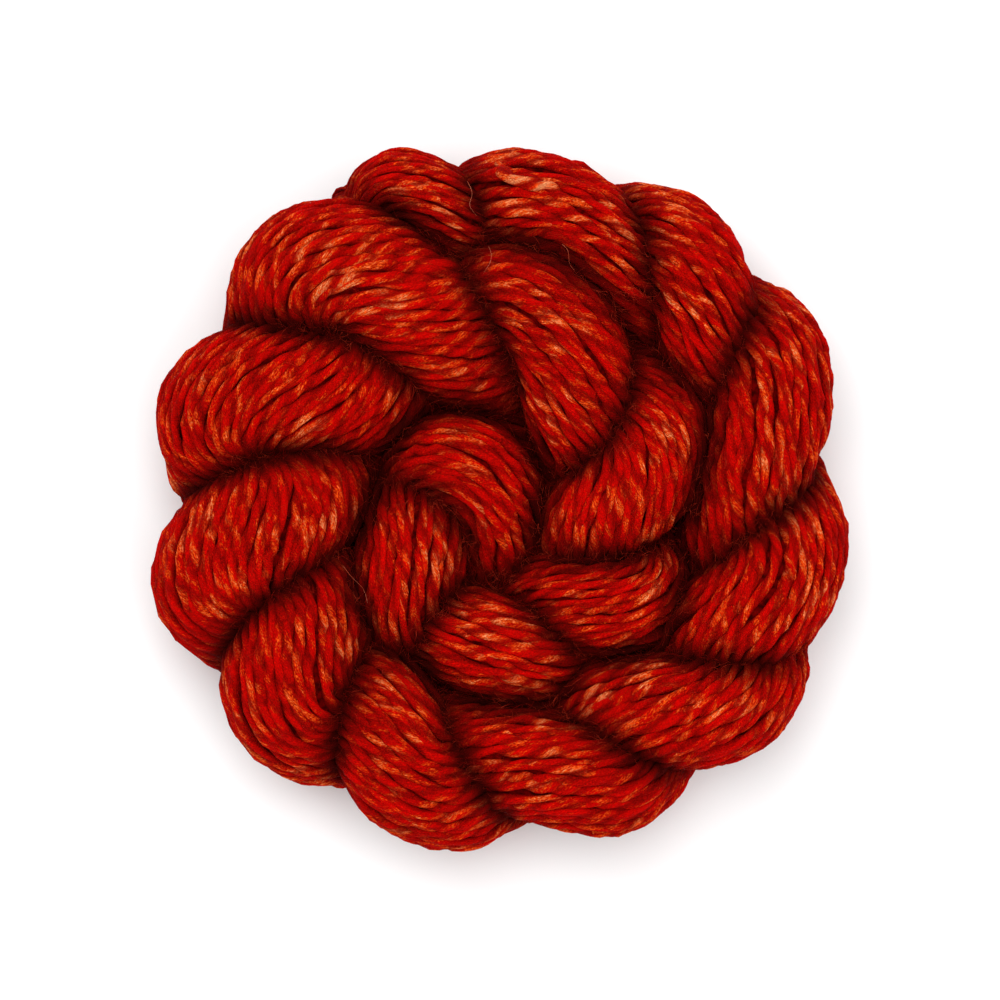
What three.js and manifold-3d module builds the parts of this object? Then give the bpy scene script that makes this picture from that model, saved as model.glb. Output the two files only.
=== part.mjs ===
// Skein of wool and silk yarn.
// A hank is twisted, doubled into a two-strand rope and coiled flat into a round knot.
// Millimetres, +Z up. The coil lies on Z = 0 with its middle on the Z axis.

import * as THREE from "three";
import { mergeVertices } from "three/addons/utils/BufferGeometryUtils.js";
import Module from "manifold-3d";

// Sizes of the rope
const STRAND_DROP = 4.8; // from a lobe's crown down to its two sides
const PRESSED = 1.2; // how far a strand is pressed flat where it passes underneath

// How finely it is made
const SIDES = 14; // sides of a strand's section
const STEPS = 4; // sections between two guide points
const END_STEPS = 4; // sections in a rounded end
const MIDDLE_SIDES = 32; // sides of the middle cushion
const MIDDLE_RINGS = 12; // rings of the middle cushion
const CHORD = 0.5; // a section faces along the strand's chord, this many guide points each way
const MERGE_DISTANCE = 0.002; // corners closer than this are one corner
const SPLINE_PASSES = 24; // passes that settle the strand's spline
const GROUND_SIZE = 200; // side of the block below the resting plane

// The lobes that show from above, in order along the rope, clockwise and inward.
// Each is a strand that rises at the outer side, crosses over the crown and sinks at the inner side.
const LOBES = [
  { outer: [-24.8, 48.8], crown: [-21.4, 47.0], inner: [-17.0, 42.5], radius: 3.6, height: 14.5 },
  { outer: [-18.2, 50.6], crown: [-10.4, 48.8], inner: [-2.8, 43.7], radius: 7.2, height: 19.7 },
  { outer: [-0.3, 49.0], crown: [11.9, 46.0], inner: [23.0, 33.9], radius: 9.2, height: 20.3 },
  { outer: [26.6, 43.2], crown: [33.1, 34.0], inner: [36.3, 20.3], radius: 9.2, height: 20.3 },
  { outer: [42.8, 25.4], crown: [44.2, 13.7], inner: [39.6, -2.3], radius: 10.4, height: 20.3 },
  { outer: [47.6, -5.5], crown: [44.1, -16.2], inner: [34.5, -23.1], radius: 10.2, height: 20.3 },
  { outer: [40.8, -30.1], crown: [30.8, -34.8], inner: [16.7, -34.9], radius: 9.9, height: 20.3 },
  { outer: [20.0, -45.4], crown: [9.9, -44.7], inner: [-4.1, -41.1], radius: 9.7, height: 20.3 },
  { outer: [-7.6, -48.2], crown: [-16.6, -42.8], inner: [-21.2, -32.8], radius: 10.2, height: 20.3 },
  { outer: [-32.2, -35.4], crown: [-34.6, -27.4], inner: [-31.8, -17.0], radius: 11.4, height: 20.3 },
  { outer: [-45.9, -14.3], crown: [-40.4, -5.8], inner: [-32.3, 2.2], radius: 11.8, height: 20.3 },
  { outer: [-45.5, 12.7], crown: [-37.0, 18.3], inner: [-24.2, 18.4], radius: 11.7, height: 20.7 },
  { outer: [-33.9, 34.5], crown: [-23.0, 37.4], inner: [-7.6, 26.6], radius: 11.5, height: 21.3 },
  { outer: [-0.2, 35.8], crown: [10.2, 27.5], inner: [14.6, 11.8], radius: 10.1, height: 21.3 },
  { outer: [24.8, 16.2], crown: [23.8, 4.2], inner: [14.2, -4.3], radius: 9.4, height: 21.0 },
  { outer: [23.8, -14.1], crown: [17.0, -17.2], inner: [8.2, -15.9], radius: 8.9, height: 19.7 },
  { outer: [7.9, -25.0], crown: [0.0, -24.5], inner: [-8.6, -19.8], radius: 9.0, height: 19.3 },
  { outer: [-15.4, -18.2], crown: [-14.6, -9.5], inner: [-11.0, -0.5], radius: 9.5, height: 19.0 },
  { outer: [-11.8, 3.0], crown: [-4.6, 4.4], inner: [-1.0, -5.0], radius: 9.4, height: 19.3 },
];

// The two strands are one bundle doubled: both begin at its fold, under the last outer lobe,
// and both end where it is tucked in, in the middle
const FOLD = { place: [-21.5, 40.5], height: 8.0, radius: 6.5 };
const TUCKED_END = { place: [-3.5, -12.0], height: 10.5, radius: 8.0 };

// Yarn that fills the rope between its strands, as a share of a lobe's radius
const CORE_SHARE = 0.8;

// Yarn that fills the coil under its lobes: a flat round cushion
const MIDDLE = { place: [-2, -2], height: 10.5, reach: 36, thickness: 14 };

const YARN = new THREE.MeshStandardMaterial({ color: 0xb81b08, roughness: 0.9, metalness: 0 });

const wasm = await Module();
wasm.setup();

// A guide point of a strand: its centre and its radius
function guide([x, y], z, radius) {
  return { centre: new THREE.Vector3(x, y, z), radius };
}

function midpoint(a, b) {
  return [(a[0] + b[0]) / 2, (a[1] + b[1]) / 2];
}

function lobeGuides({ outer, crown, inner, radius, height }) {
  return [
    guide(outer, height - STRAND_DROP, radius),
    guide(crown, height, radius),
    guide(inner, height - STRAND_DROP, radius),
  ];
}

// Between two lobes of one strand it passes under the rope's other strand
function underGuide(lobe, next) {
  const radius = (lobe.radius + next.radius) / 2;
  return guide(midpoint(lobe.inner, next.outer), radius - PRESSED, radius);
}

function endGuide({ place, height, radius }) {
  return guide(place, height, radius);
}

// All guide points of one of the rope's two strands, which take the lobes in turn
function strandGuides(strand) {
  const lobes = LOBES.filter((lobe, index) => index % 2 === strand);
  const guides = [endGuide(FOLD)];
  lobes.forEach((lobe, index) => {
    guides.push(...lobeGuides(lobe));
    if (index + 1 < lobes.length) guides.push(underGuide(lobe, lobes[index + 1]));
  });
  guides.push(endGuide(TUCKED_END));
  return guides;
}

// Guide points along the middle of the rope, one for each lobe
function coreGuides() {
  return LOBES.map(({ outer, inner, radius, height }) => {
    const middleHeight = (height + radius - PRESSED) / 2;
    return guide(midpoint(outer, inner), middleHeight, radius * CORE_SHARE);
  });
}

// Handles that make a uniform cubic spline pass through the points:
// a sixth of each handle's two neighbours and four sixths of itself make its point
function splineHandles(points) {
  let handles = points;
  for (let pass = 0; pass < SPLINE_PASSES; pass++) {
    const { first, last } = beyondEnds(handles);
    handles = points.map((point, i) => {
      const before = i > 0 ? handles[i - 1] : first;
      const after = i + 1 < handles.length ? handles[i + 1] : last;
      return point.clone().multiplyScalar(6).sub(before).sub(after).divideScalar(4);
    });
  }
  const { first, last } = beyondEnds(handles);
  return [first, ...handles, last];
}

// One point more at each end of a row, straight on from the last two
function beyondEnds(points) {
  const straightOn = (end, inner) => end.clone().multiplyScalar(2).sub(inner);
  return {
    first: straightOn(points[0], points[1]),
    last: straightOn(points[points.length - 1], points[points.length - 2]),
  };
}

// Point of the spline, place 0 at the first guide point and 1 at the second
function splinePoint(handles, place) {
  const from = Math.min(Math.floor(place), handles.length - 4);
  const t = place - from;
  const weights = [(1 - t) ** 3, 3 * t ** 3 - 6 * t ** 2 + 4, 1 + 3 * t + 3 * t ** 2 - 3 * t ** 3, t ** 3];
  const point = new THREE.Vector3();
  weights.forEach((weight, k) => point.addScaledVector(handles[from + k], weight / 6));
  return point;
}

// Sections along a route: centre, direction, radius and a side that turns as little as it can
function routeSections(guides) {
  const handles = splineHandles(guides.map((point) => point.centre));
  const last = guides.length - 1;
  const side = new THREE.Vector3(0, 0, 1);
  const sections = [];
  for (let i = 0; i <= last * STEPS; i++) {
    const place = i / STEPS;
    const before = Math.min(Math.floor(place), last - 1);
    const ahead = splinePoint(handles, Math.min(place + CHORD, last));
    const behind = splinePoint(handles, Math.max(place - CHORD, 0));
    const along = ahead.sub(behind).normalize();
    side.addScaledVector(along, -side.dot(along)).normalize();
    sections.push({
      centre: splinePoint(handles, place),
      along,
      side: side.clone(),
      radius: THREE.MathUtils.lerp(guides[before].radius, guides[before + 1].radius, place - before),
    });
  }
  return sections;
}

// Sections of a dome that closes a route beyond its first or last section
function domeSections(rim, outward) {
  const dome = [];
  for (let i = 1; i < END_STEPS; i++) {
    const angle = (i / END_STEPS) * (Math.PI / 2);
    const reach = outward * rim.radius * Math.sin(angle);
    const centre = rim.centre.clone().addScaledVector(rim.along, reach);
    dome.push({ ...rim, centre, radius: rim.radius * Math.cos(angle) });
  }
  return dome;
}

// The corners of a round section
function sectionCorners({ centre, along, side, radius }) {
  const across = new THREE.Vector3().crossVectors(along, side);
  const corners = [];
  for (let k = 0; k < SIDES; k++) {
    const angle = (k / SIDES) * 2 * Math.PI;
    const corner = centre.clone();
    corner.addScaledVector(side, radius * Math.cos(angle));
    corner.addScaledVector(across, radius * Math.sin(angle));
    corners.push(corner);
  }
  return corners;
}

function solidOf(geometry) {
  const bare = geometry.clone();
  bare.deleteAttribute("normal");
  bare.deleteAttribute("uv");
  const merged = mergeVertices(bare, MERGE_DISTANCE);
  return new wasm.Manifold(
    new wasm.Mesh({
      numProp: 3,
      vertProperties: new Float32Array(merged.attributes.position.array),
      triVerts: new Uint32Array(merged.index.array),
    }),
  );
}

function geometryOf(solid) {
  const mesh = solid.getMesh();
  const geometry = new THREE.BufferGeometry();
  geometry.setAttribute("position", new THREE.BufferAttribute(mesh.vertProperties, 3));
  geometry.setIndex(new THREE.BufferAttribute(mesh.triVerts, 1));
  geometry.computeVertexNormals();
  return geometry;
}

// The closed solid between two neighbouring sections
function lengthSolid(section, next) {
  const corners = [...sectionCorners(section), ...sectionCorners(next)];
  const faces = [];
  for (let k = 0; k < SIDES; k++) {
    const beside = (k + 1) % SIDES;
    faces.push(k, beside, SIDES + beside);
    faces.push(k, SIDES + beside, SIDES + k);
  }
  for (let k = 1; k < SIDES - 1; k++) {
    faces.push(0, k + 1, k);
    faces.push(SIDES, SIDES + k, SIDES + k + 1);
  }
  const geometry = new THREE.BufferGeometry().setFromPoints(corners);
  geometry.setIndex(faces);
  return solidOf(geometry);
}

// Yarn along a route as short lengths end to end, so that none of them meets itself
function routeLengths(guides) {
  const sections = routeSections(guides);
  const rims = [
    ...domeSections(sections[0], -1).reverse(),
    ...sections,
    ...domeSections(sections[sections.length - 1], 1),
  ];
  return rims.slice(1).map((rim, i) => lengthSolid(rims[i], rim));
}

function middleSolid() {
  const { place, height, reach, thickness } = MIDDLE;
  const cushion = new THREE.SphereGeometry(1, MIDDLE_SIDES, MIDDLE_RINGS);
  cushion.rotateX(Math.PI / 2);
  cushion.scale(reach, reach, thickness / 2);
  cushion.translate(place[0], place[1], height);
  return solidOf(cushion);
}

// Everything below the resting plane, which is cut away to leave the flat underside
function groundSolid() {
  const box = new THREE.BoxGeometry(GROUND_SIZE, GROUND_SIZE, GROUND_SIZE);
  box.translate(0, 0, -GROUND_SIZE / 2);
  return solidOf(box);
}

// The largest body of a solid, without the crumbs that a join can leave
function mainBody(solid) {
  const bodies = solid.decompose();
  return bodies.reduce((largest, body) => (body.volume() > largest.volume() ? body : largest));
}

function hankGeometry() {
  const routes = [strandGuides(0), strandGuides(1), coreGuides()];
  const wound = routes.flatMap(routeLengths).reduce((joined, length) => joined.add(length), middleSolid());
  const flattened = mainBody(wound.subtract(groundSolid()));
  return geometryOf(mainBody(solidOf(geometryOf(flattened))));
}

const hank = new THREE.Mesh(hankGeometry(), YARN);
hank.name = "hank";

const skein = new THREE.Group();
skein.add(hank);

export default skein;
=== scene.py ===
from collections import namedtuple
from math import pi

import bpy
import numpy as np
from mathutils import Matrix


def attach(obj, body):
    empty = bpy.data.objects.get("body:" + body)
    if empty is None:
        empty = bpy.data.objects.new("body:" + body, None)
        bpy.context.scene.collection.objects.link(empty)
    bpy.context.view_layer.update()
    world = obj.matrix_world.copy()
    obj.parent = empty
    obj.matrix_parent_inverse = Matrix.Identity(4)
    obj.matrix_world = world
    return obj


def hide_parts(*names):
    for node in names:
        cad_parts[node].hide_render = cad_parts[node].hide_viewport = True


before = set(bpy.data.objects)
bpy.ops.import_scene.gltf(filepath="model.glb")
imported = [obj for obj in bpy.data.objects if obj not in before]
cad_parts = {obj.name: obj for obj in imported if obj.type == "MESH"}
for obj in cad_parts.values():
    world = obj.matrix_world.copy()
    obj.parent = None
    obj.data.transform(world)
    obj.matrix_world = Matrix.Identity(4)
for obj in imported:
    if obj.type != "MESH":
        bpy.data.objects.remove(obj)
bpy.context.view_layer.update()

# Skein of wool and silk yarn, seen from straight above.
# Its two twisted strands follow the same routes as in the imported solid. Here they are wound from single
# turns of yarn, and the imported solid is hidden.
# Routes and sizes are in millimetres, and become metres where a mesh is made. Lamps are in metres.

MM = 0.001
SEED = 7

# The wound form: the same lobes, fold, tucked end and middle as the solid
STRAND_DROP = 4.8  # from a lobe's crown down to its two sides
PRESSED = 1.2  # how far a strand is pressed flat where it passes underneath
CORE_SHARE = 0.8  # radius of the yarn inside the rope, as a share of a lobe's radius
SPLINE_PASSES = 24
SPLINE_SAMPLES = 60  # between two guide points, where a route's length is measured

# Winding is how fast the turns of yarn go round the strand there, in degrees for each millimetre along it
Lobe = namedtuple("Lobe", "outer crown inner radius height winding")
LOBES = [
    Lobe((-24.8, 48.8), (-21.4, 47.0), (-17.0, 42.5), 3.6, 14.5, 3.0),
    Lobe((-18.2, 50.6), (-10.4, 48.8), (-2.8, 43.7), 7.2, 19.7, 4.0),
    Lobe((-0.3, 49.0), (11.9, 46.0), (23.0, 33.9), 9.2, 20.3, 1.5),
    Lobe((26.6, 43.2), (33.1, 34.0), (36.3, 20.3), 9.2, 20.3, 2.5),
    Lobe((42.8, 25.4), (44.2, 13.7), (39.6, -2.3), 10.4, 20.3, 1.5),
    Lobe((47.6, -5.5), (44.1, -16.2), (34.5, -23.1), 10.2, 20.3, 2.5),
    Lobe((40.8, -30.1), (30.8, -34.8), (16.7, -34.9), 9.9, 20.3, 3.0),
    Lobe((20.0, -45.4), (9.9, -44.7), (-4.1, -41.1), 9.7, 20.3, 2.5),
    Lobe((-7.6, -48.2), (-16.6, -42.8), (-21.2, -32.8), 10.2, 20.3, 3.5),
    Lobe((-32.2, -35.4), (-34.6, -27.4), (-31.8, -17.0), 11.4, 20.3, 3.5),
    Lobe((-45.9, -14.3), (-40.4, -5.8), (-32.3, 2.2), 11.8, 20.3, 8.0),
    Lobe((-45.5, 12.7), (-37.0, 18.3), (-24.2, 18.4), 11.7, 20.7, 6.0),
    Lobe((-33.9, 34.5), (-23.0, 37.4), (-7.6, 26.6), 11.5, 21.3, 4.5),
    Lobe((-0.2, 35.8), (10.2, 27.5), (14.6, 11.8), 10.1, 21.3, 2.5),
    Lobe((24.8, 16.2), (23.8, 4.2), (14.2, -4.3), 9.4, 21.0, 6.0),
    Lobe((23.8, -14.1), (17.0, -17.2), (8.2, -15.9), 8.9, 19.7, 2.5),
    Lobe((7.9, -25.0), (0.0, -24.5), (-8.6, -19.8), 9.0, 19.3, 0.0),
    Lobe((-15.4, -18.2), (-14.6, -9.5), (-11.0, -0.5), 9.5, 19.0, 2.0),
    Lobe((-11.8, 3.0), (-4.6, 4.4), (-1.0, -5.0), 9.4, 19.3, 0.0),
]
End = namedtuple("End", "place height radius")
FOLD = End((-21.5, 40.5), 8.0, 6.5)
TUCKED_END = End((-3.5, -12.0), 10.5, 8.0)

Cushion = namedtuple("Cushion", "place height reach thickness")
MIDDLE = Cushion((-2, -2), 10.5, 36, 14)

# The yarn
YARN_RADIUS = 0.95  # of one turn, where it is neither thick nor thin
TURNS_IN_STRAND = 36  # turns side by side round one strand of the rope
TURNS_IN_CORE = 24
YARN_TWIST = 11.5  # millimetres along the yarn for one turn of its two plies
PLY_RELIEF = 0.19  # how far the two plies stand out of the yarn's round section, as a share of its radius
STEP = 0.8  # millimetres between two rings of a turn
RING = 12  # corners in a ring
BURIED = 2.0  # a turn deeper than this inside another strand is left out
FEWEST_RINGS = 3  # a part of a turn with fewer is left out
BUNDLES = 4  # pieces that one strand's turns are shared among
FULL_STRAND = 9.5  # radius of a strand whose yarn is as thick as YARN_RADIUS
YARN_IN_STRAND = (0.5, 1.06)  # thinnest and thickest yarn of a strand, as a share of that
SUNK = 1.05  # how deep a turn's middle lies under its strand's surface, in its own radii
LOWEST = 0.8  # a turn's middle where it lies on the surface below, in its own radii
TURN_SHIFT = 0.3  # how far a turn starts from its even place, as a share of the space between turns
TURN_SIZES = (0.88, 1.16)  # thinnest and thickest turn, as a share of the yarn's usual radius
OWN_REACH = 1.2  # how far along its own strand a turn doesn't feel that strand, in the strand's radii
CUSHION_SPACING = 1.75  # between two rings of yarn on the middle cushion, in the yarn's radii
CUSHION_WANDER = 0.3  # how far such a ring is from round
FIBRE_SHIFT = 977  # how far the turns are shifted along the noise, so that no two look alike

# How uneven the yarn is: the size of its waves, and the shortest and the longest of them in millimetres
Wave = namedtuple("Wave", "size shortest longest")
WAVES_IN_CURVE = 3
DRIFT = [Wave(0.42, 16, 45), Wave(0.2, 7, 14)]  # sideways, in millimetres
RISE = [Wave(0.26, 7, 18), Wave(0.16, 30, 70)]  # up and down, in millimetres
UNEVEN_THICKNESS = Wave(0.09, 6, 24)  # as a share of its radius
SLUBS = Wave(1, 25, 60)
SLUB_START = 0.9  # a slub is only the top of a wave, above this
SLUB_SIZE = 0.5
UNEVEN_TWIST = Wave(0.14, 10, 34)  # in turns of its plies
UNEVEN_RELIEF = Wave(0.4, 6, 20)  # as a share of its relief

# How dark the painted shade in the crevices is
PROBE = 4.0  # how far outside a turn the yarn around it is felt for
CREVICE = (-1.6, 8.2)  # free space round a turn, from a fully dark place to a fully lit one
RIM = (50.0, 56.0)  # from the middle to where the crevices start to open, and to the rim
RIM_OPENNESS = 0.45  # of a crevice at the rim: 0 is dark, 1 is fully lit

# The fuzz
HAIRS = 5000  # in each of the fuzz pieces
FUZZ_PIECES = 2
FUZZ_EDGE = (43.0, 50.0)  # from the middle to where the fuzz gets less, and to where it ends
HAIR_RADIUS = 0.016
HAIR_STEPS = 4
HAIR_LENGTHS = (1.5, 4.5)
HAIR_RISE = (0.05, 0.6)  # how steeply a hair leaves the yarn, against its way along it
HAIR_LEAN = 1.1  # how far it turns sideways
HAIR_BEND = 0.5  # how much it turns at each step
HAIR_FALL = 0.12  # how much it turns back to the yarn at each step
HAIR_TIP = 0.35  # a hair's radius at its tip, as a share of its radius
LOOSE_FIBRE_RADIUS = 1.8 * HAIR_RADIUS
LOOSE_FIBRE_HEIGHT = 0.35  # above the yarn that it lies on

# The inside, dark with painted shade
INNER_INSET = 1.1  # how far it lies under a strand's surface
INNER_SIDES = 12
INNER_LOWEST = 0.6  # above the surface that the skein lies on
CUSHION_INSET = 1.2

# The map for baking
STRIP_WIDTH = 2 * pi * YARN_RADIUS * 1.1  # a turn's girth and a little more
STRIP_FILL = 0.94  # share of a strip's width that its turn takes

# A loose paler turn on one of the outer lobes, and a few long fibres, as points seen from above
LOOSE_TURN = [(-0.4, 55.2), (0.4, 54.0), (2.0, 52.8), (4.4, 52.0), (7.2, 51.6), (9.8, 50.4)]
LOOSE_TURN_SIZE = 1.2  # in the yarn's radii
LOOSE_TURN_HEIGHT = 0.1  # above the yarn that it lies on
TUCKED_FROM = 0.32  # share of its length from its middle to where its ends start to go down
TUCKED_THINNER = 0.3
TUCKED_DEEPER = 1.6
LOOSE_FIBRES = [
    [(-1.9, 41.8), (-1.4, 40.2), (-1.9, 38.6), (-2.8, 37.2)],
    [(10.2, 42.0), (11.2, 40.8), (11.4, 39.0), (12.4, 37.6)],
    [(-25.8, -11.0), (-24.2, -13.0), (-22.6, -14.6), (-21.8, -17.0)],
    [(-5.4, 52.6), (-4.6, 50.4), (-5.0, 48.6), (-3.8, 46.8)],
]

# Single fibres painted across the turns
CROSSINGS = (20, 75, 130)  # their directions seen from above, in degrees
CROSSING_LENGTH = 2.4
CROSSING_WIDTH = 0.16
CROSSING_SHARE = 0.32  # how much of the colour below they hide

# Noise along the fibres: its width and length, its detail, and the values where it is cut to 0 and 1
Streak = namedtuple("Streak", "width length detail low high")
CLOUD = Streak(1.8, 9.0, 2.0, 0.3, 0.7)  # lighter and darker dye
FINE_STREAK = Streak(0.2, 1.6, 2.0, 0.35, 0.65)
GRAIN = Streak(0.22, 0.4, 1.0, 0.35, 0.65)
SILK_PATCH = Streak(1.9, 4.6, 1.0, 0.32, 0.7)
INSIDE_WAVES = 900.0  # waves a metre in the dark inside, and from hair to hair
HAIR_WAVES = 400.0
CLOUD_SHARE = 0.65  # of the dye: the rest is each turn's own tone
TONE_SHARE = 0.35
STREAK_SHARE = 0.35  # how much the streaks, the grain and the slow waves break up the patches of silk
GRAIN_SHARE = 0.45
SILK_WAVE_SHARE = 0.5
SILK_WAVES = 70.0  # waves a metre, from places with more silk to places with less
ORANGE_FROM = (1.15, 1.8)  # how much silk there is where orange starts, and where it is full
PALE_FROM = (1.65, 2.15)
MORE_SILK = 0.75  # how much more silk the loose turn has than the others
BRIGHT_SHARE = 0.45  # how far the brightest grain and the palest silk hide the wool
PALE_SHARE = 0.85
VALLEY_SHADE_SHARE = 0.62  # how dark the painted shade is between two turns, and deep in a crevice
CREVICE_SHADE_SHARE = 0.97
BUMP_HEIGHT = 0.25

# Screen colours of the wool from the painted shade in its crevices up, its silk with painted highlights,
# the loose fibres and the floor
# painted shade deep in a crevice
CREVICE_SHADE = (18, 0, 0)
# the inside, dark with painted shade
SHADED_INSIDE_WOOL = ((44, 0, 0), (96, 0, 0))
# painted shade between two turns
VALLEY_SHADE = (66, 0, 0)
DARK_WOOL = (146, 0, 0)
CROSSING_WOOL = (205, 12, 2)
RED_WOOL = (216, 0, 0)
BRIGHT_WOOL = (238, 8, 0)
# silk with painted highlights
ORANGE_SILK_HIGHLIGHT = (255, 92, 18)
PALE_SILK_HIGHLIGHT = (255, 166, 108)
FUZZ = ((120, 0, 0), (206, 60, 36))
PALE_FIBRE = ((200, 84, 56), (232, 146, 112))
WOOL_SHEEN = (255, 60, 34)
FIBRE_SHEEN = (255, 120, 80)
FLOOR = (243, 243, 243)
WHITE = (1.0, 1.0, 1.0, 1.0)  # the one colour that isn't a screen colour

# The view: straight down, with the frame as wide as this at the skein's middle height
FRAME_WIDTH = 166.7
MIDDLE_HEIGHT = 14.0
CAMERA_HEIGHT = 1000.0
SENSOR = 36.0

# Soft light, in metres and watts, and the pale floor
Lamp = namedtuple("Lamp", "name place size power")
LAMPS = [
    Lamp("key", (-0.2, 0.4, 1.15), 0.9, 9.6),
    Lamp("fill", (0.5, -0.15, 1.0), 0.9, 3.6),
]
SKY_STRENGTH = 0.8
FLOOR_REACH = 4.0

rng = np.random.default_rng(SEED)

# Routes


def midpoint(a, b):
    return ((a[0] + b[0]) / 2, (a[1] + b[1]) / 2)


def lobe_guides(lobe):
    low = lobe.height - STRAND_DROP
    return [
        (*lobe.outer, low, lobe.radius, lobe.winding),
        (*lobe.crown, lobe.height, lobe.radius, lobe.winding),
        (*lobe.inner, low, lobe.radius, lobe.winding),
    ]


def under_guide(lobe, following):
    """Between two lobes of one strand it passes under the rope's other strand."""
    radius = (lobe.radius + following.radius) / 2
    winding = (lobe.winding + following.winding) / 2
    return (*midpoint(lobe.inner, following.outer), radius - PRESSED, radius, winding)


def end_guide(end):
    return (*end.place, end.height, end.radius, 0)


def strand_guides(strand):
    """Centres, radii and windings along one of the rope's two strands, which take the lobes in turn."""
    lobes = LOBES[strand::2]
    guides = [end_guide(FOLD)]
    for lobe, following in zip(lobes, lobes[1:] + [None]):
        guides += lobe_guides(lobe)
        if following:
            guides.append(under_guide(lobe, following))
    guides.append(end_guide(TUCKED_END))
    return np.array(guides)


def core_guides():
    """Centres, radii and windings of the yarn inside the rope, one for each lobe."""
    guides = []
    for lobe in LOBES:
        middle_height = (lobe.height + lobe.radius - PRESSED) / 2
        guides.append((*midpoint(lobe.outer, lobe.inner), middle_height, lobe.radius * CORE_SHARE, 0))
    return np.array(guides)


def beyond_ends(points):
    """The points with one more at each end, straight on from the last two."""
    return np.vstack([2 * points[0] - points[1], points, 2 * points[-1] - points[-2]])


def spline_handles(points):
    """Handles that make a uniform cubic spline pass through the points."""
    handles = points
    for _ in range(SPLINE_PASSES):
        around = beyond_ends(handles)
        handles = (6 * points - around[:-2] - around[2:]) / 4
    return beyond_ends(handles)


def spline_points(handles, places):
    """Points of the spline, place 0 at the first guide point and 1 at the second."""
    start = np.minimum(places.astype(int), len(handles) - 4)
    t = (places - start)[:, None]
    weights = [(1 - t) ** 3, 3 * t**3 - 6 * t**2 + 4, 1 + 3 * t + 3 * t**2 - 3 * t**3, t**3]
    return sum(weight * handles[start + k] for k, weight in enumerate(weights)) / 6


def distance_along(path):
    return np.r_[0, np.cumsum(np.linalg.norm(np.diff(path, axis=0), axis=1))]


def unit(vectors):
    return vectors / np.maximum(np.linalg.norm(vectors, axis=-1, keepdims=True), 1e-9)


def with_domes(centre, radius, step):
    """The route with a rounded end beyond its first and its last point."""
    for _ in range(2):
        reach = np.arange(step, radius[0], step)[::-1]
        outward = unit(centre[0] - centre[1])
        centre = np.vstack([centre[0] + outward * reach[:, None], centre])[::-1]
        radius = np.r_[(radius[0] ** 2 - reach**2) ** 0.5, radius][::-1]
    return centre, radius


# Here winding is the angle that the turns have gone round the strand so far, in radians
Route = namedtuple("Route", "centre along side across radius distance winding")


def route_through(guides, step):
    """A route sampled at even distances, with a side that turns as little as it can."""
    handles = spline_handles(guides[:, :3])
    fine = np.linspace(0, len(guides) - 1, SPLINE_SAMPLES * (len(guides) - 1) + 1)
    fine_points = spline_points(handles, fine)
    fine_distance = distance_along(fine_points)
    count = int(fine_distance[-1] / step) + 1
    distance = np.linspace(0, fine_distance[-1], count)
    places = np.interp(distance, fine_distance, fine)
    radius = np.interp(places, np.arange(len(guides)), guides[:, 3])
    centre, radius = with_domes(spline_points(handles, places), radius, step)
    before = int(np.ceil(guides[0, 3] / step)) - 1
    places = np.r_[np.zeros(before), places, np.full(len(centre) - before - count, places[-1])]
    along = unit(np.gradient(centre, axis=0))
    side = np.zeros_like(along)
    last = np.array([0.0, 0.0, 1.0])
    for i, direction in enumerate(along):
        last = last - direction * (last @ direction)
        last /= np.linalg.norm(last)
        side[i] = last
    distance = distance_along(centre)
    winding = np.interp(places, np.arange(len(guides)), guides[:, 4])
    wound = -np.radians(np.cumsum(winding * np.gradient(distance)))
    return Route(centre, along, side, np.cross(along, side), radius, distance, wound)


# Noise along a length


def waves(distance, wave):
    """A smooth random curve of about this size each way, made of a few waves."""
    total = np.zeros_like(distance)
    for _ in range(WAVES_IN_CURVE):
        length = rng.uniform(wave.shortest, wave.longest)
        total += np.sin(2 * pi * (distance / length + rng.random()))
    return wave.size * (total / WAVES_IN_CURVE**0.5)


# Turns of yarn

Turn = namedtuple("Turn", "path outward radius distance openness tone")


def smooth_step(value, low, high):
    t = np.clip((value - low) / (high - low), 0, 1)
    return t * t * (3 - 2 * t)


def depth_in_routes(points, routes, own=None, own_distance=None):
    """How deep each point lies inside the nearest strand, in millimetres; less than nothing outside."""
    deepest = np.full(len(points), -1e3)
    for number, route in enumerate(routes):
        apart = np.linalg.norm(points[:, None] - route.centre[None], axis=2)
        depth = route.radius[None] - apart
        if number == own:
            beside = np.abs(own_distance[:, None] - route.distance[None]) < OWN_REACH * route.radius[None]
            depth[beside] = -1e3
        deepest = np.maximum(deepest, depth.max(axis=1))
    return deepest


def depth_in_middle(points):
    """How deep each point lies inside the middle cushion, roughly."""
    size = np.array([MIDDLE.reach, MIDDLE.reach, MIDDLE.thickness / 2])
    share = np.linalg.norm((points - [*MIDDLE.place, MIDDLE.height]) / size, axis=1)
    return (1 - share) * MIDDLE.thickness / 2


def cut_turn(path, outward, radius, distance, depth, free, tone):
    """The stretches of a turn that aren't buried in other yarn, with how open each place is."""
    shown = depth < BURIED
    edges = np.flatnonzero(np.diff(np.r_[0, shown.astype(int), 0]))
    # How open each place is sets the painted shade in the crevices, which is lighter towards the rim
    at_rim = smooth_step(np.linalg.norm(path[:, :2], axis=1), *RIM)
    openness = np.maximum(smooth_step(free, *CREVICE), RIM_OPENNESS * at_rim)
    pieces = []
    for start, end in zip(edges[::2], edges[1::2]):
        if end - start < FEWEST_RINGS:
            continue
        part = slice(max(start - 1, 0), end + 1)
        pieces.append(Turn(path[part], outward[part], radius[part], distance[part], openness[part], tone))
    return pieces


def yarn_thickness(distance):
    """The yarn's radius along it: slow thick and thin places and a few slubs."""
    slubs = np.maximum(waves(distance, SLUBS), SLUB_START) - SLUB_START
    return YARN_RADIUS * (1 + waves(distance, UNEVEN_THICKNESS) + SLUB_SIZE * slubs)


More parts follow.
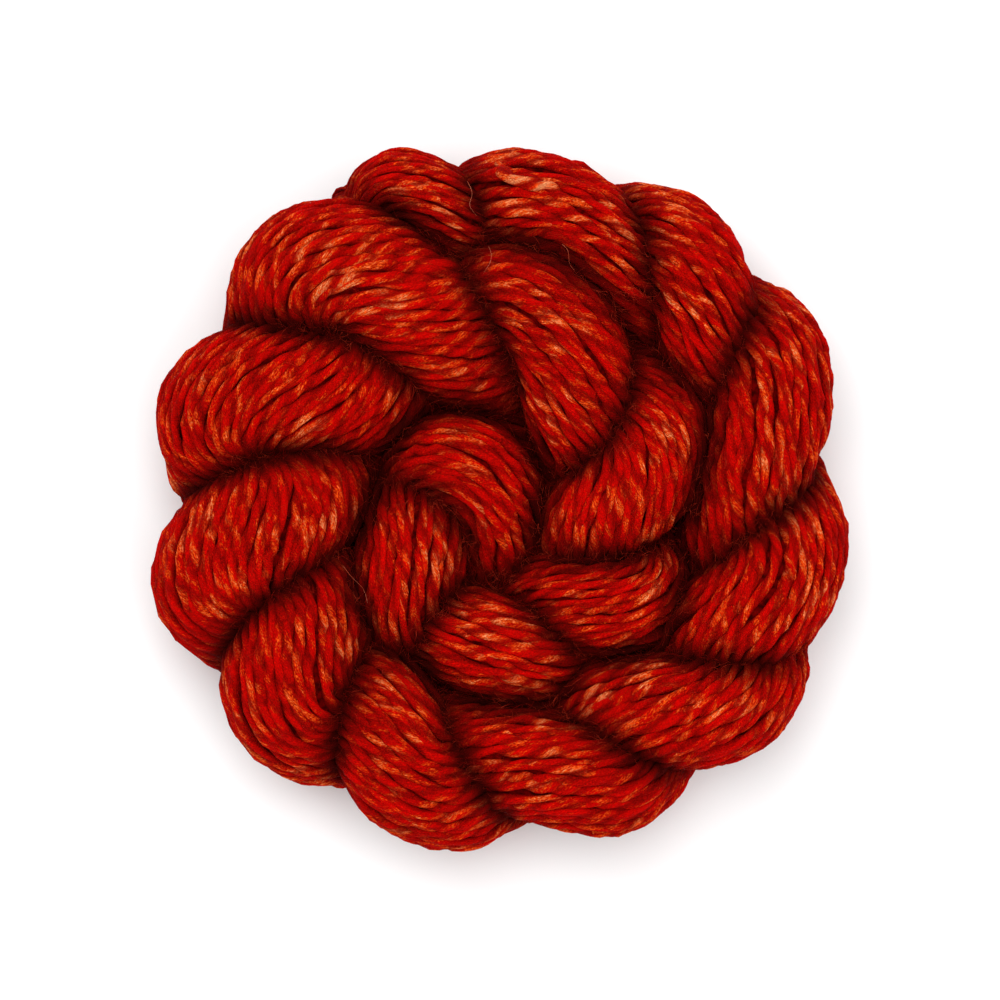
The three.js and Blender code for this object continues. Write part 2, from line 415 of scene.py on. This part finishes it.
def strand_turns(routes, own, count):
    """The turns of yarn on the surface of one strand: a list of the parts that show of each."""
    route = routes[own]
    turns = []
    for k in range(count):
        drift = sum(waves(route.distance, wave) for wave in DRIFT)
        angle = 2 * pi * (k + TURN_SHIFT * rng.uniform(-1, 1)) / count + route.winding
        angle = angle + drift / np.maximum(route.radius, 5)
        height = sum(waves(route.distance, wave) for wave in RISE)
        size = np.clip(route.radius / FULL_STRAND, *YARN_IN_STRAND)
        radius = yarn_thickness(route.distance) * size * rng.uniform(*TURN_SIZES)
        outward = np.cos(angle)[:, None] * route.side + np.sin(angle)[:, None] * route.across
        path = route.centre + outward * (route.radius - SUNK * radius + height)[:, None]
        path[:, 2] = np.maximum(path[:, 2], LOWEST * radius)
        depth = depth_in_routes(path, routes, own, route.distance)
        free = -(depth + depth_in_routes(path + PROBE * outward, routes, own, route.distance)) / 2
        depth = np.maximum(depth, depth_in_middle(path))
        turns.append(cut_turn(path, outward, radius, distance_along(path), depth, free, rng.random()))
    return turns


def middle_turns(routes):
    """Rings of yarn on the top and the underside of the middle cushion."""
    turns = []
    rings = int(MIDDLE.reach / (CUSHION_SPACING * YARN_RADIUS))
    for upward in (1, -1):
        for k in range(rings):
            reach = (k + 0.5) * MIDDLE.reach / rings
            count = max(int(2 * pi * reach / STEP), 10)
            angle = np.linspace(0, 2 * pi, count)
            distance = angle * reach
            height = upward * MIDDLE.thickness / 2 * (1 - (reach / MIDDLE.reach) ** 2) ** 0.5
            wander = reach + CUSHION_WANDER * np.sin(3 * angle + k)
            path = np.c_[wander * np.cos(angle), wander * np.sin(angle), np.full(count, height)]
            outward = unit(path / [MIDDLE.reach**2, MIDDLE.reach**2, MIDDLE.thickness**2 / 4])
            path += [*MIDDLE.place, MIDDLE.height]
            radius = np.full(count, YARN_RADIUS)
            depth = depth_in_routes(path, routes)
            free = -(depth + depth_in_routes(path + PROBE * outward, routes)) / 2
            turns.append(cut_turn(path, outward, radius, distance, depth, free, rng.random()))
    return turns


# Meshes


def tube_quads(rings, sides):
    """The four-cornered faces of a tube, numbered ring by ring, with its ring and side for each face."""
    row, column = np.meshgrid(np.arange(rings - 1), np.arange(sides), indexing="ij")
    beside = (column + 1) % sides
    corners = [(row, column), (row, beside), (row + 1, beside), (row + 1, column)]
    quads = np.stack([ring * sides + side for ring, side in corners], axis=2)
    return quads.reshape(-1, 4), row, column


def tube_rings(turn):
    """Corners round each point of a turn, their places in its fibres, and how far they stand out."""
    along = unit(np.gradient(turn.path, axis=0))
    outward = unit(turn.outward - along * (turn.outward * along).sum(axis=1, keepdims=True))
    across = np.cross(along, outward)
    angle = np.arange(RING) / RING * 2 * pi
    twist = turn.distance / YARN_TWIST + waves(turn.distance, UNEVEN_TWIST) + 3 * turn.tone
    fibre_angle = angle[None] - 2 * pi * twist[:, None]
    ridge = np.cos(2 * fibre_angle)
    relief = PLY_RELIEF * (1 + waves(turn.distance, UNEVEN_RELIEF))[:, None]
    reach = turn.radius[:, None] * (1 - 0.4 * relief + relief * ridge)
    around = angle[None, :, None]
    ring = -np.cos(around) * outward[:, None] + np.sin(around) * across[:, None]
    # crown is high where a ply's crown faces out of its strand: it sets the painted shade between turns
    # and where the painted highlights of the silk fall
    flank = smooth_step(-np.cos(angle), -0.1, 0.9)[None]
    crown = smooth_step(ridge, -1.3, 0.8) * flank
    corners = turn.path[:, None] + ring * reach[:, :, None]
    corners[:, :, 2] = np.maximum(corners[:, :, 2], 0)
    lengthwise = turn.distance[:, None] + FIBRE_SHIFT * turn.tone + 0 * angle[None]
    fibre = np.stack([reach * np.cos(fibre_angle), reach * np.sin(fibre_angle), lengthwise], axis=2)
    return corners, fibre, crown


def place_strips(lengths, width):
    """Puts strips of these lengths in rows of a square map: each strip's corner, and the map's side."""
    side = (sum(lengths) * width) ** 0.5
    while True:
        side *= 1.04
        places, x, y = [], 0.0, 0.0
        for length in lengths:
            if x + length > side:
                x, y = 0.0, y + width
            places.append((x, y))
            x += length + 1
        if y + width <= side and max(lengths) <= side:
            return places, side


def turn_map(turn, place, side, row, column):
    """Where a turn's faces lie on its strip of the square map: its sides, and its two ends."""
    along = (place[0] + turn.distance - turn.distance[0]) / side
    around = (place[1] + np.arange(RING + 1) / RING * STRIP_WIDTH * STRIP_FILL) / side
    spots = [(row, column), (row, column + 1), (row + 1, column + 1), (row + 1, column)]
    sides = [np.stack([along[ring], around[corner]], axis=2) for ring, corner in spots]
    start = np.stack([np.full(RING, along[0]), around[:RING][::-1]], axis=1)
    end = np.stack([np.full(RING, along[-1]), around[:RING]], axis=1)
    return np.stack(sides, axis=2).reshape(-1, 2), [start, end]


def turns_mesh(name, turns):
    """One joined mesh of closed tubes, with the places that its material reads."""
    corners, fibres, crowns, opens, tones, quads, caps, quad_maps, cap_maps = [[] for _ in range(9)]
    lengths = [turn.distance[-1] - turn.distance[0] for turn in turns]
    places, side = place_strips(lengths, STRIP_WIDTH)
    first = 0
    for turn, place in zip(turns, places):
        rings, fibre, crown = tube_rings(turn)
        count = len(rings)
        corners.append(rings.reshape(-1, 3))
        fibres.append(fibre.reshape(-1, 3))
        crowns.append(crown.ravel())
        opens.append(np.repeat(turn.openness, RING))
        tones.append(np.full(count * RING, turn.tone))
        quad, row, column = tube_quads(count, RING)
        quads.append(quad + first)
        caps.append(first + np.arange(RING)[::-1])
        caps.append(first + (count - 1) * RING + np.arange(RING))
        quad_map, end_maps = turn_map(turn, place, side, row, column)
        quad_maps.append(quad_map)
        cap_maps += end_maps
        first += count * RING
    quads = np.concatenate(quads)
    caps = np.array(caps)
    mesh = mesh_from(name, np.concatenate(corners) * MM, [quads, caps])
    add_values(mesh, "fibre", "FLOAT_VECTOR", np.concatenate(fibres))
    add_values(mesh, "crown", "FLOAT", np.concatenate(crowns))
    add_values(mesh, "openness", "FLOAT", np.concatenate(opens))
    add_values(mesh, "tone", "FLOAT", np.concatenate(tones))
    uv = mesh.uv_layers.new(name="OFBake")
    uv.data.foreach_set("uv", np.concatenate(quad_maps + cap_maps).ravel().astype(np.float32))
    return mesh


def mesh_from(name, corners, face_groups):
    """A smooth mesh from arrays of faces, each array with one number of corners a face."""
    mesh = bpy.data.meshes.new(name)
    mesh.vertices.add(len(corners))
    mesh.vertices.foreach_set("co", corners.astype(np.float32).ravel())
    loops = np.concatenate([group.ravel() for group in face_groups])
    sizes = np.concatenate([np.full(len(group), group.shape[1]) for group in face_groups])
    starts = np.r_[0, np.cumsum(sizes)[:-1]]
    mesh.loops.add(len(loops))
    mesh.loops.foreach_set("vertex_index", loops.astype(np.int32))
    mesh.polygons.add(len(sizes))
    mesh.polygons.foreach_set("loop_start", starts.astype(np.int32))
    mesh.polygons.foreach_set("use_smooth", np.ones(len(sizes), dtype=bool))
    mesh.update(calc_edges=True)
    mesh.validate()
    return mesh


def add_values(mesh, name, kind, values):
    attribute = mesh.attributes.new(name, kind, "POINT")
    field = "vector" if kind == "FLOAT_VECTOR" else "value"
    attribute.data.foreach_set(field, values.astype(np.float32).ravel())


def place_piece(mesh, material):
    """A mesh as a piece of the skein, riding on its one body."""
    piece = bpy.data.objects.new(mesh.name, mesh)
    bpy.context.scene.collection.objects.link(piece)
    mesh.materials.append(material)
    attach(piece, "root")
    return piece


# The dark yarn under the turns that show


def inner_tube(route, inset):
    """Corners and faces of a strand's inside, one smooth tube."""
    angle = (np.arange(INNER_SIDES) / INNER_SIDES * 2 * pi)[None, :, None]
    ring = np.cos(angle) * route.side[:, None] + np.sin(angle) * route.across[:, None]
    corners = route.centre[:, None] + ring * np.maximum(route.radius - inset, 0)[:, None, None]
    corners[:, :, 2] = np.maximum(corners[:, :, 2], INNER_LOWEST)
    return corners.reshape(-1, 3), tube_quads(len(route.centre), INNER_SIDES)[0]


def inner_cushion():
    """Corners and faces of the middle cushion's inside."""
    rings, sides = 16, 48
    rise = np.linspace(-pi / 2 + 0.05, pi / 2 - 0.05, rings)
    turn = np.arange(sides) / sides * 2 * pi
    reach = MIDDLE.reach - CUSHION_INSET
    half_height = MIDDLE.thickness / 2 - CUSHION_INSET
    x = MIDDLE.place[0] + reach * np.cos(rise)[:, None] * np.cos(turn)[None]
    y = MIDDLE.place[1] + reach * np.cos(rise)[:, None] * np.sin(turn)[None]
    z = MIDDLE.height + half_height * np.sin(rise)[:, None] + 0 * turn[None]
    corners = np.stack([x, y, z], axis=2)
    return corners.reshape(-1, 3), tube_quads(rings, sides)[0]


def inside_mesh(name, routes):
    parts = [inner_tube(route, INNER_INSET) for route in routes] + [inner_cushion()]
    first = 0
    corners, quads = [], []
    for part_corners, part_quads in parts:
        corners.append(part_corners)
        quads.append(part_quads + first)
        first += len(part_corners)
    return mesh_from(name, np.concatenate(corners) * MM, [np.concatenate(quads)])


# Fuzz


def hair_paths(turns):
    """Short loose fibres that stand off the yarn, most of them in the crevices."""
    owner = np.repeat(np.arange(len(turns)), [len(turn.path) for turn in turns])
    place = np.concatenate([np.arange(len(turn.path)) for turn in turns])
    upward = np.concatenate([turn.outward[:, 2] for turn in turns])
    openness = np.concatenate([turn.openness for turn in turns])
    from_middle = np.concatenate([np.linalg.norm(turn.path[:, :2], axis=1) for turn in turns])
    inland = 1 - smooth_step(from_middle, *FUZZ_EDGE)
    chance = (1.3 - openness) * (0.06 + np.maximum(upward, 0)) * inland
    paths = []
    for chosen in rng.choice(len(owner), HAIRS, p=chance / chance.sum()):
        turn = turns[owner[chosen]]
        i = np.clip(place[chosen], 1, len(turn.path) - 2)
        outward = turn.outward[i]
        along = unit(turn.path[i + 1] - turn.path[i - 1])
        across = np.cross(along, outward)
        lean = rng.uniform(-1, 1)
        start = turn.path[i] + turn.radius[i] * (0.8 * outward + 0.5 * lean * across)
        heading = rng.choice([-1, 1]) * along + rng.uniform(*HAIR_RISE) * outward
        heading = unit(heading + HAIR_LEAN * lean * across)
        bend = unit(rng.normal(size=3)) * HAIR_BEND - HAIR_FALL * outward
        length = rng.uniform(*HAIR_LENGTHS)
        points = [start]
        for _ in range(HAIR_STEPS):
            points.append(points[-1] + heading * length / HAIR_STEPS)
            heading = unit(heading + bend)
        paths.append(np.array(points))
    return paths


def hair_mesh(name, paths, thickness):
    """Fibres as one mesh of thin three-sided tubes that taper to their tips."""
    corners, quads, tips = [], [], []
    first = 0
    for points in paths:
        count = len(points)
        points[:, 2] = np.maximum(points[:, 2], 0.05)
        heading = unit(points[-1] - points[0])
        side = unit(np.cross(heading, [0.3, 0.5, 0.8]))
        other = unit(np.cross(heading, side))
        reach = thickness * np.linspace(1, HAIR_TIP, count)
        for angle in (0, 2 * pi / 3, 4 * pi / 3):
            offset = np.cos(angle) * side + np.sin(angle) * other
            corners.append(points + offset * reach[:, None])
        for k in range(3):
            low = first + k * count + np.arange(count - 1)
            high = first + (k + 1) % 3 * count + np.arange(count - 1)
            quads.append(np.stack([low, low + 1, high + 1, high], axis=1))
        tips.append([first, first + count, first + 2 * count])
        tips.append([first + 3 * count - 1, first + 2 * count - 1, first + count - 1])
        first += 3 * count
    return mesh_from(name, np.concatenate(corners) * MM, [np.concatenate(quads), np.array(tips)])


# The loose turn and the long fibres


def smooth_line(points, step):
    """A smooth line in plan through these points, at even steps."""
    points = np.array(points)
    handles = spline_handles(np.c_[points, np.zeros(len(points))])
    fine = spline_points(handles, np.linspace(0, len(points) - 1, 40 * len(points)))
    distance = distance_along(fine)
    even = np.linspace(0, distance[-1], int(distance[-1] / step) + 2)
    return np.stack([np.interp(even, distance, fine[:, axis]) for axis in (0, 1)], axis=1)


def height_of_yarn(plan, routes):
    """How high the strands reach at points seen from above."""
    heights = np.zeros(len(plan))
    for route in routes:
        apart = np.linalg.norm(plan[:, None] - route.centre[None, :, :2], axis=2)
        rise = np.maximum(route.radius[None] ** 2 - apart**2, 0) ** 0.5
        top = np.where(apart < route.radius[None], route.centre[None, :, 2] + rise, 0)
        heights = np.maximum(heights, top.max(axis=1))
    return heights


def loose_turn(routes):
    """One turn that has slipped out of line and lies on the others, its two ends tucked in."""
    plan = smooth_line(LOOSE_TURN, STEP / 2)
    share = np.linspace(0, 1, len(plan))
    tucked = smooth_step(abs(share - 0.5), TUCKED_FROM, 0.5)
    radius = YARN_RADIUS * (LOOSE_TURN_SIZE - TUCKED_THINNER * tucked)
    path = np.c_[plan, height_of_yarn(plan, routes) + LOOSE_TURN_HEIGHT - TUCKED_DEEPER * tucked]
    outward = np.tile([0.0, 0.0, 1.0], (len(path), 1))
    return Turn(path, outward, radius, distance_along(path), np.ones(len(path)), 0.5)


def loose_fibres(routes):
    paths = []
    for points in LOOSE_FIBRES:
        plan = smooth_line(points, 0.5)
        paths.append(np.c_[plan, height_of_yarn(plan, routes) + LOOSE_FIBRE_HEIGHT])
    return paths


# Materials


def linear(red, green, blue):
    """A screen colour, 0 to 255, as the linear colour that a shader takes."""
    value = np.array([red, green, blue]) / 255
    low = value / 12.92
    high = ((value + 0.055) / 1.055) ** 2.4
    return (*np.where(value <= 0.04045, low, high), 1.0)


def new_material(name, roughness, sheen=0.0, sheen_colour=WHITE):
    material = bpy.data.materials.new(name)
    material.use_nodes = True
    shader = material.node_tree.nodes["Principled BSDF"]
    shader.inputs["Roughness"].default_value = roughness
    shader.inputs["Specular IOR Level"].default_value = 0.02
    shader.inputs["Sheen Weight"].default_value = sheen
    shader.inputs["Sheen Roughness"].default_value = 0.45
    shader.inputs["Sheen Tint"].default_value = sheen_colour
    return material, shader


def read_value(tree, name, output):
    node = tree.nodes.new("ShaderNodeAttribute")
    node.attribute_name = name
    return node.outputs[output]


def fibre_noise(tree, fibre, streak):
    """Noise along the fibres, as wide and as long as this streak, from 0 to 1."""
    mapping = tree.nodes.new("ShaderNodeMapping")
    mapping.inputs["Scale"].default_value = (1 / streak.width, 1 / streak.width, 1 / streak.length)
    tree.links.new(fibre, mapping.inputs["Vector"])
    noise = tree.nodes.new("ShaderNodeTexNoise")
    noise.inputs["Scale"].default_value = 1.0
    noise.inputs["Detail"].default_value = streak.detail
    tree.links.new(mapping.outputs["Vector"], noise.inputs["Vector"])
    return cut_range(tree, noise.outputs["Fac"], streak.low, streak.high)


def body_noise(tree, scale, low, high):
    """Noise that follows no fibre, at this many waves a metre, cut at low and high."""
    place = tree.nodes.new("ShaderNodeTexCoord").outputs["Object"]
    noise = tree.nodes.new("ShaderNodeTexNoise")
    noise.inputs["Scale"].default_value = scale
    tree.links.new(place, noise.inputs["Vector"])
    return cut_range(tree, noise.outputs["Fac"], low, high)


def crossing_fibres(tree, direction):
    """Thin lines of single fibres that lie across the turns, in this direction seen from above."""
    place = tree.nodes.new("ShaderNodeTexCoord").outputs["Object"]
    mapping = tree.nodes.new("ShaderNodeMapping")
    mapping.vector_type = "TEXTURE"
    mapping.inputs["Rotation"].default_value = (0.0, 0.0, np.radians(direction))
    size = (CROSSING_LENGTH * MM, CROSSING_WIDTH * MM, CROSSING_WIDTH * MM)
    mapping.inputs["Scale"].default_value = size
    tree.links.new(place, mapping.inputs["Vector"])
    noise = tree.nodes.new("ShaderNodeTexNoise")
    noise.inputs["Scale"].default_value = 1.0
    noise.inputs["Detail"].default_value = 1.0
    noise.inputs["Distortion"].default_value = 0.4
    tree.links.new(mapping.outputs["Vector"], noise.inputs["Vector"])
    return cut_range(tree, noise.outputs["Fac"], 0.52, 0.7)


def cut_range(tree, value, low, high, to_low=0.0, to_high=1.0):
    """A value that goes smoothly from to_low at low to to_high at high."""
    node = tree.nodes.new("ShaderNodeMapRange")
    node.interpolation_type = "SMOOTHSTEP"
    node.inputs["From Min"].default_value = low
    node.inputs["From Max"].default_value = high
    node.inputs["To Min"].default_value = to_low
    node.inputs["To Max"].default_value = to_high
    tree.links.new(value, node.inputs["Value"])
    return node.outputs["Result"]


def mix_colours(tree, share, first, second):
    """A mix node of two colours, each a colour or another node's output."""
    node = tree.nodes.new("ShaderNodeMix")
    node.data_type = "RGBA"
    for socket, value in ((node.inputs[0], share), (node.inputs[6], first), (node.inputs[7], second)):
        if isinstance(value, (tuple, float)):
            socket.default_value = value
        else:
            tree.links.new(value, socket)
    return node.outputs[2]


def combine(tree, operation, first, second):
    node = tree.nodes.new("ShaderNodeMath")
    node.operation = operation
    for socket, value in zip(node.inputs, (first, second)):
        if isinstance(value, float):
            socket.default_value = value
        else:
            tree.links.new(value, socket)
    return node.outputs[0]


def yarn_colours(name, silk):
    """Red wool with patches of orange and pale silk that carry painted highlights on the open, outward
    crowns of its plies, and painted shade between two turns and where it lies deep between two strands.
    """
    material, shader = new_material(name, 0.8, 0.07, linear(*WOOL_SHEEN))
    tree = material.node_tree
    fibre = read_value(tree, "fibre", "Vector")
    openness = read_value(tree, "openness", "Fac")
    tone = read_value(tree, "tone", "Fac")
    crown = read_value(tree, "crown", "Fac")
    cloudy = fibre_noise(tree, fibre, CLOUD)
    streaks = fibre_noise(tree, fibre, FINE_STREAK)
    grain = fibre_noise(tree, fibre, GRAIN)
    patches = fibre_noise(tree, fibre, SILK_PATCH)
    broken = combine(tree, "ADD", patches, combine(tree, "MULTIPLY", streaks, STREAK_SHARE))
    broken = combine(tree, "ADD", broken, combine(tree, "MULTIPLY", grain, GRAIN_SHARE))
    uneven = body_noise(tree, SILK_WAVES, low=0.3, high=0.7)
    broken = combine(tree, "ADD", broken, combine(tree, "MULTIPLY", uneven, SILK_WAVE_SHARE))
    broken = combine(tree, "ADD", broken, silk)
    # Painted highlight: the orange and pale silk show only on open ply crowns that face out
    lit = combine(tree, "MULTIPLY", crown, cut_range(tree, openness, 0.1, 0.9, to_low=0.25))
    orange = combine(tree, "MULTIPLY", cut_range(tree, broken, *ORANGE_FROM), lit)
    pale = combine(tree, "MULTIPLY", cut_range(tree, broken, *PALE_FROM), lit)
    cloudy_dye = combine(tree, "MULTIPLY", cloudy, CLOUD_SHARE)
    dye = combine(tree, "ADD", cloudy_dye, combine(tree, "MULTIPLY", tone, TONE_SHARE))
    wool = mix_colours(tree, dye, linear(*DARK_WOOL), linear(*RED_WOOL))
    bright = combine(tree, "MULTIPLY", grain, BRIGHT_SHARE)
    wool = mix_colours(tree, bright, wool, linear(*BRIGHT_WOOL))
    coloured = mix_colours(tree, orange, wool, linear(*ORANGE_SILK_HIGHLIGHT))
    pale = combine(tree, "MULTIPLY", pale, PALE_SHARE)
    coloured = mix_colours(tree, pale, coloured, linear(*PALE_SILK_HIGHLIGHT))
    # Painted shade between two turns and between the plies, on the sides that face into the strand
    valley = cut_range(tree, crown, 0.0, 0.85, to_low=VALLEY_SHADE_SHARE, to_high=0.0)
    coloured = mix_colours(tree, valley, coloured, linear(*VALLEY_SHADE))
    for direction in CROSSINGS:
        lines = combine(tree, "MULTIPLY", crossing_fibres(tree, direction), CROSSING_SHARE)
        coloured = mix_colours(tree, lines, coloured, linear(*CROSSING_WOOL))
    # Painted shade deep in the crevices, where there is little free space round a turn
    dark = cut_range(tree, openness, 0.0, 0.9, to_low=CREVICE_SHADE_SHARE, to_high=0.0)
    tree.links.new(mix_colours(tree, dark, coloured, linear(*CREVICE_SHADE)), shader.inputs["Base Color"])
    bump = tree.nodes.new("ShaderNodeBump")
    bump.inputs["Strength"].default_value = 1.0
    bump.inputs["Distance"].default_value = BUMP_HEIGHT * MM
    relief = combine(tree, "ADD", streaks, grain)
    tree.links.new(relief, bump.inputs["Height"])
    tree.links.new(bump.outputs["Normal"], shader.inputs["Normal"])
    return material


def yarn_material():
    return yarn_colours("yarn", 0.0)


def loose_turn_material():
    """The same yarn with more of its silk on the outside."""
    return yarn_colours("yarn_silky", MORE_SILK)


def shaded_inside_material():
    """The wool that shows between two turns, dark with painted shade."""
    material, shader = new_material("yarn_inside_shaded", 0.95)
    tree = material.node_tree
    share = body_noise(tree, INSIDE_WAVES, low=0.3, high=0.7)
    colour = mix_colours(tree, share, linear(*SHADED_INSIDE_WOOL[0]), linear(*SHADED_INSIDE_WOOL[1]))
    tree.links.new(colour, shader.inputs["Base Color"])
    return material


def fibre_colours(name, colours):
    """A material for single loose fibres, each between these two colours."""
    material, shader = new_material(name, 0.7, 0.05, linear(*FIBRE_SHEEN))
    tree = material.node_tree
    share = body_noise(tree, HAIR_WAVES, low=0.4, high=0.75)
    colour = mix_colours(tree, share, linear(*colours[0]), linear(*colours[1]))
    tree.links.new(colour, shader.inputs["Base Color"])
    return material


def hair_material():
    return fibre_colours("yarn_fuzz", FUZZ)


def pale_fibre_material():
    return fibre_colours("yarn_fibre", PALE_FIBRE)


def floor_material():
    material, shader = new_material("floor", 0.9)
    shader.inputs["Base Color"].default_value = linear(*FLOOR)
    return material


# Stage


def make_camera():
    data = bpy.data.cameras.new("camera")
    data.sensor_width = SENSOR
    data.lens = SENSOR * (CAMERA_HEIGHT - MIDDLE_HEIGHT) / FRAME_WIDTH
    data.clip_start = 0.01
    camera = bpy.data.objects.new("camera", data)
    camera.location = (0, 0, CAMERA_HEIGHT * MM)
    bpy.context.scene.collection.objects.link(camera)
    bpy.context.scene.camera = camera


def make_floor():
    edge = FLOOR_REACH
    corners = np.array([(-edge, -edge, 0), (edge, -edge, 0), (edge, edge, 0), (-edge, edge, 0)])
    mesh = mesh_from("floor", corners, [np.array([[0, 1, 2, 3]])])
    floor = bpy.data.objects.new("floor", mesh)
    mesh.materials.append(floor_material())
    bpy.context.scene.collection.objects.link(floor)


def add_lamp(lamp):
    """A square lamp that faces the skein."""
    data = bpy.data.lights.new(lamp.name, "AREA")
    data.size = lamp.size
    data.energy = lamp.power
    light = bpy.data.objects.new(lamp.name, data)
    light.location = lamp.place
    look = -light.location
    light.rotation_euler = look.to_track_quat("-Z", "Y").to_euler()
    bpy.context.scene.collection.objects.link(light)


def make_light():
    for lamp in LAMPS:
        add_lamp(lamp)
    world = bpy.data.worlds.new("soft_light")
    world.use_nodes = True
    background = world.node_tree.nodes["Background"]
    background.inputs["Color"].default_value = WHITE
    background.inputs["Strength"].default_value = SKY_STRENGTH
    bpy.context.scene.world = world
    bpy.context.scene.view_settings.view_transform = "Standard"


def together(turns):
    """The parts of several turns as one list."""
    return [part for turn in turns for part in turn]


def make_skein():
    all_guides = (strand_guides(0), strand_guides(1), core_guides())
    routes = [route_through(guides, STEP) for guides in all_guides]
    yarn = yarn_material()
    pieces, shown = [], []
    for own, letter in ((0, "a"), (1, "b")):
        turns = strand_turns(routes, own, TURNS_IN_STRAND)
        share = TURNS_IN_STRAND // BUNDLES
        for bundle in range(BUNDLES):
            parts = together(turns[bundle * share : (bundle + 1) * share])
            shown += parts
            pieces.append(place_piece(turns_mesh(f"turns_{letter}{bundle + 1}", parts), yarn))
    core = together(strand_turns(routes, 2, TURNS_IN_CORE))
    pieces.append(place_piece(turns_mesh("turns_core", core), yarn))
    middle = together(middle_turns(routes))
    pieces.append(place_piece(turns_mesh("turns_middle", middle), yarn))
    pieces.append(place_piece(inside_mesh("inside", routes), shaded_inside_material()))
    loose = turns_mesh("loose_turn", [loose_turn(routes)])
    pieces.append(place_piece(loose, loose_turn_material()))
    fuzz = hair_material()
    for number in range(FUZZ_PIECES):
        place_piece(hair_mesh(f"fuzz_{number + 1}", hair_paths(shown), HAIR_RADIUS), fuzz)
    fibres = hair_mesh("loose_fibres", loose_fibres(routes), LOOSE_FIBRE_RADIUS)
    place_piece(fibres, pale_fibre_material())
    for piece in pieces:
        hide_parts("hank")


make_camera()
make_skein()
make_floor()
make_light()
